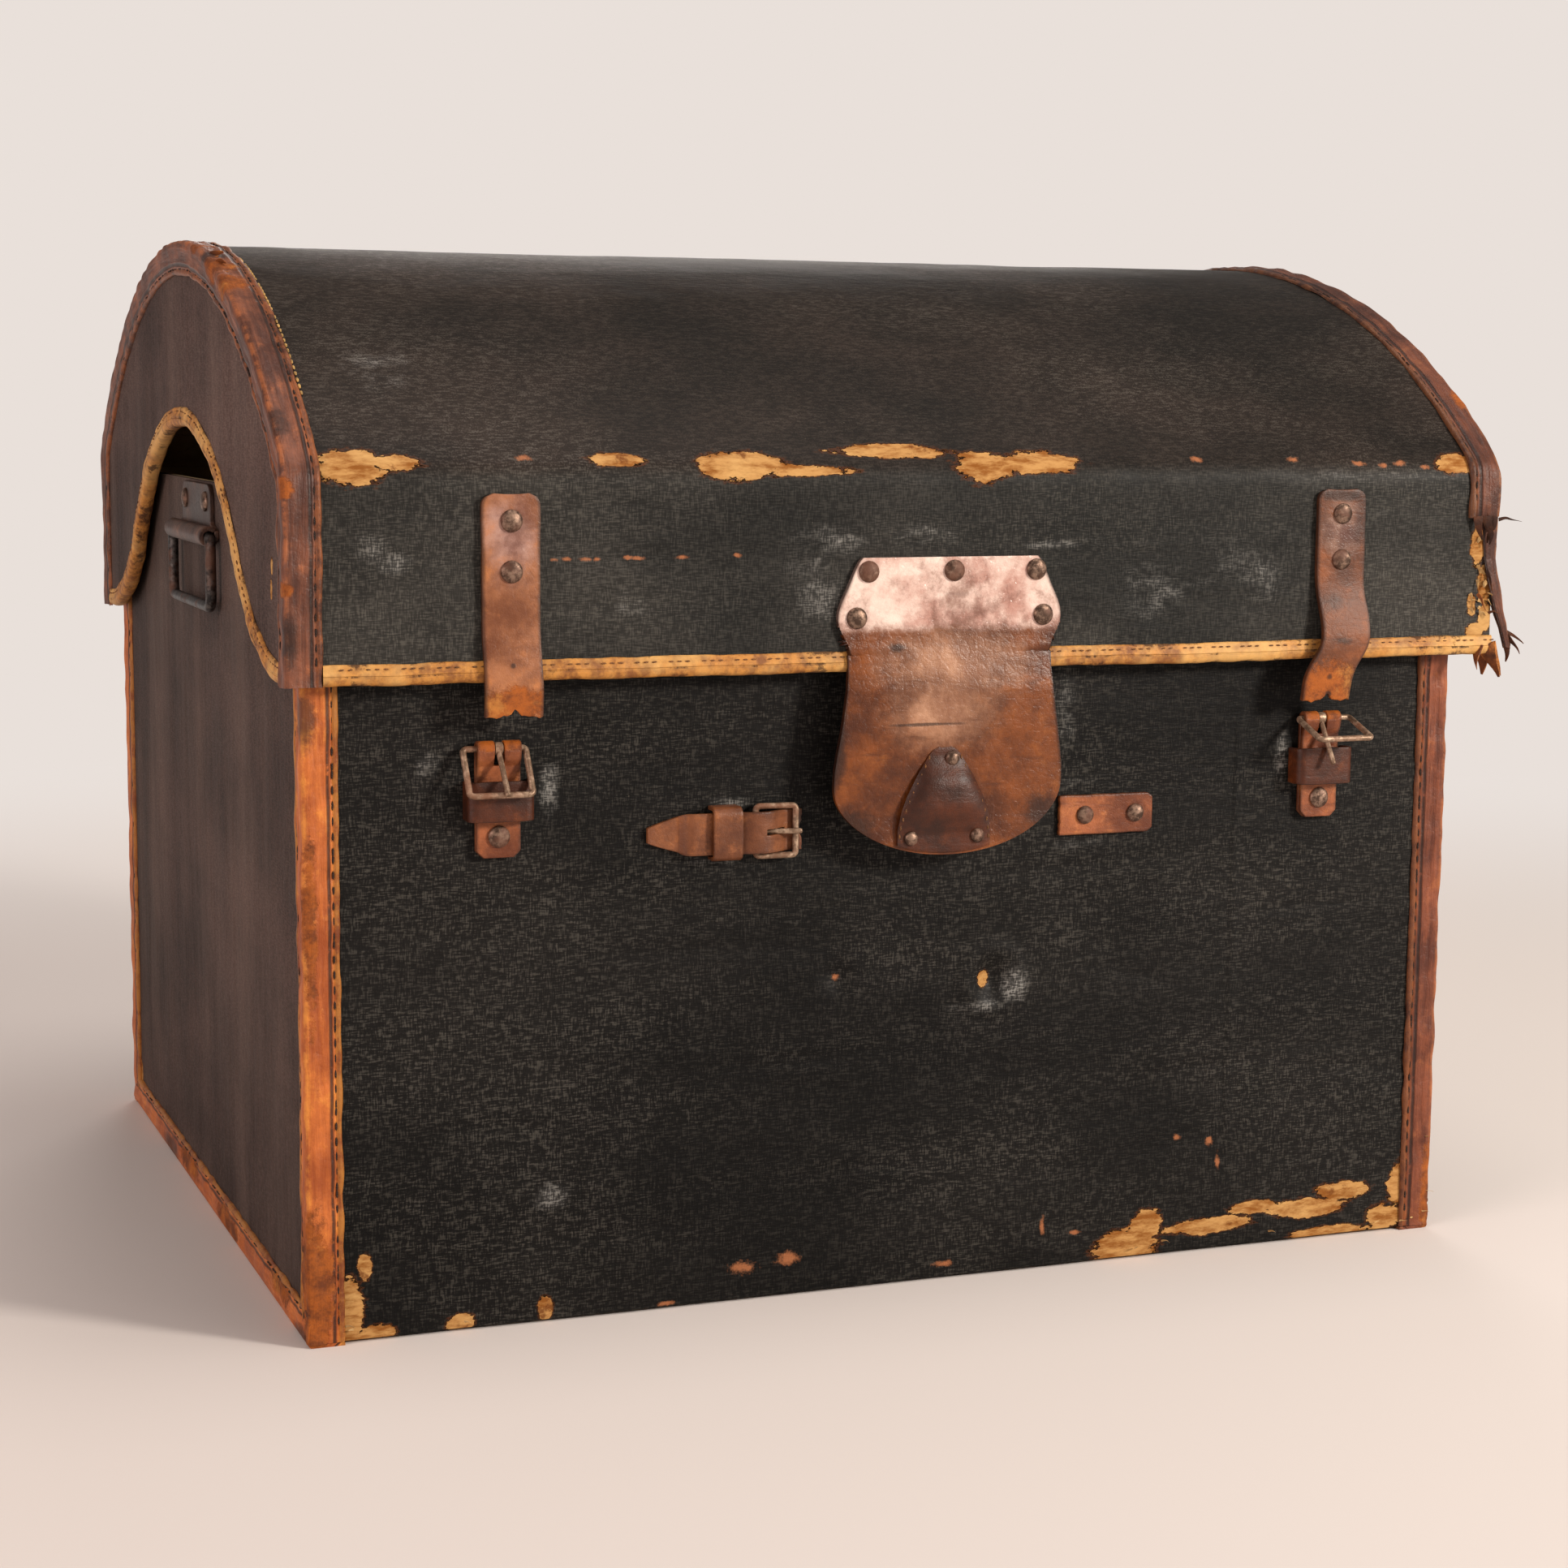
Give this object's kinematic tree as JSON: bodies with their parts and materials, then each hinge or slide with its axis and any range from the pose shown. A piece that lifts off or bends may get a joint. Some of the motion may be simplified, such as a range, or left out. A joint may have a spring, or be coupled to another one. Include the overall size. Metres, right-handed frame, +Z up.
{
  "type": "dome-top travelling trunk",
  "caption": "Old dome-top travelling trunk: canvas-covered boards, leather-bound edges, deep overlapping lid with arched ends, torn straps and wire buckles.",
  "frame": {"origin": "on the floor, under the middle of the base box", "axes": "+Z up, the front with its lock flap faces -Y, +X to the right seen from the front"},
  "size_m": [0.631, 0.557, 0.5144],
  "materials": {
    "black_canvas": "black oiled canvas glued over thick board",
    "edge_leather": "worn red-brown leather",
    "strap_leather": "worn dark harness leather, polished by use",
    "rim_vellum": "pale straw-coloured stitched binding",
    "rivet_steel": "tarnished tinned rivets",
    "black_iron": "blackened iron wire"
  },
  "bodies": {
    "base": {"base_front_board": "black_canvas", "base_rear_board": "black_canvas", "base_left_board": "black_canvas", "base_right_board": "black_canvas", "base_floor_board": "black_canvas", "base_bottom_binding_left": "edge_leather", "base_bottom_binding_right": "edge_leather", "base_corner_binding_front_left": "edge_leather", "base_corner_binding_front_right": "edge_leather", "base_corner_binding_rear_left": "edge_leather", "base_corner_binding_rear_right": "edge_leather", "buckle_left_chape": "strap_leather", "buckle_left_keeper": "strap_leather", "buckle_right_chape": "strap_leather", "buckle_right_keeper": "strap_leather", "buckle_rivets": "rivet_steel", "cross_chape": "strap_leather", "cross_keeper": "strap_leather", "cross_buckle_frame": "black_iron", "cross_buckle_prong": "black_iron", "cross_strap_end": "strap_leather", "cross_strap_tab": "strap_leather", "cross_strap_rivets": "rivet_steel", "handle_left_chape": "strap_leather", "handle_right_chape": "strap_leather", "handle_rivets": "rivet_steel", "hinge_left_base_half": "strap_leather", "hinge_right_base_half": "strap_leather", "hinge_base_rivets": "rivet_steel"},
    "lid": {"lid_front_board": "black_canvas", "lid_rear_board": "black_canvas", "lid_left_board": "black_canvas", "lid_right_board": "black_canvas", "lid_dome_board": "black_canvas", "rim_binding_front": "rim_vellum", "rim_binding_rear": "rim_vellum", "rim_binding_left_arch": "rim_vellum", "rim_binding_right_arch": "rim_vellum", "lid_end_binding_left": "edge_leather", "lid_end_binding_right": "edge_leather", "strap_left_top": "strap_leather", "strap_right_top": "strap_leather", "strap_rivets": "rivet_steel", "lock_flap_top": "strap_leather", "lock_flap_rivets": "rivet_steel", "hinge_left_lid_half": "strap_leather", "hinge_right_lid_half": "strap_leather", "hinge_lid_rivets": "rivet_steel"},
    "lock_flap": {"lock_flap": "strap_leather", "flap_keeper": "strap_leather", "flap_keeper_rivets": "rivet_steel"},
    "strap_left_end": {"strap_left_torn_end": "strap_leather"},
    "strap_right_end": {"strap_right_torn_end": "strap_leather"},
    "buckle_left_frame": {"buckle_left_frame": "black_iron"},
    "buckle_left_prong": {"buckle_left_prong": "black_iron"},
    "buckle_right_frame": {"buckle_right_frame": "black_iron"},
    "buckle_right_prong": {"buckle_right_prong": "black_iron"},
    "handle_left": {"handle_left_bail": "black_iron"},
    "handle_right": {"handle_right_bail": "black_iron"}
  },
  "joints": [
    {"name": "lid_hinge", "type": "hinge", "parent": "base", "child": "lid", "pos_m": [0.0045, 0.273, 0.309], "axis": [-1, 0, 0], "range_deg": [0, 100]},
    {"name": "lock_flap_lift", "type": "hinge", "parent": "lid", "child": "lock_flap", "pos_m": [0.0105, -0.272, 0.3264], "axis": [-1, 0, 0], "range_deg": [0, 150]},
    {"name": "strap_left_lift", "type": "hinge", "parent": "lid", "child": "strap_left_end", "pos_m": [-0.208, -0.272, 0.3474], "axis": [-1, 0, 0], "range_deg": [0, 155]},
    {"name": "strap_right_lift", "type": "hinge", "parent": "lid", "child": "strap_right_end", "pos_m": [0.226, -0.272, 0.3474], "axis": [-1, 0, 0], "range_deg": [0, 155]},
    {"name": "buckle_left_swing", "type": "hinge", "parent": "base", "child": "buckle_left_frame", "pos_m": [-0.211, -0.25875, 0.277], "axis": [-1, 0, 0], "range_deg": [0, 70]},
    {"name": "buckle_left_prong_swing", "type": "hinge", "parent": "buckle_left_frame", "child": "buckle_left_prong", "pos_m": [-0.211, -0.25875, 0.277], "axis": [-1, 0, 0], "range_deg": [0, 50]},
    {"name": "buckle_right_swing", "type": "hinge", "parent": "base", "child": "buckle_right_frame", "pos_m": [0.225, -0.25875, 0.277], "axis": [-1, 0, 0], "range_deg": [0, 50]},
    {"name": "buckle_right_prong_swing", "type": "hinge", "parent": "buckle_right_frame", "child": "buckle_right_prong", "pos_m": [0.225, -0.25875, 0.277], "axis": [-1, 0, 0], "range_deg": [0, 30]},
    {"name": "handle_left_swing", "type": "hinge", "parent": "base", "child": "handle_left", "pos_m": [-0.30525, 0, 0.365], "axis": [0, 1, 0], "range_deg": [0, 175]},
    {"name": "handle_right_swing", "type": "hinge", "parent": "base", "child": "handle_right", "pos_m": [0.30525, 0, 0.365], "axis": [0, -1, 0], "range_deg": [0, 175]}
  ]
}
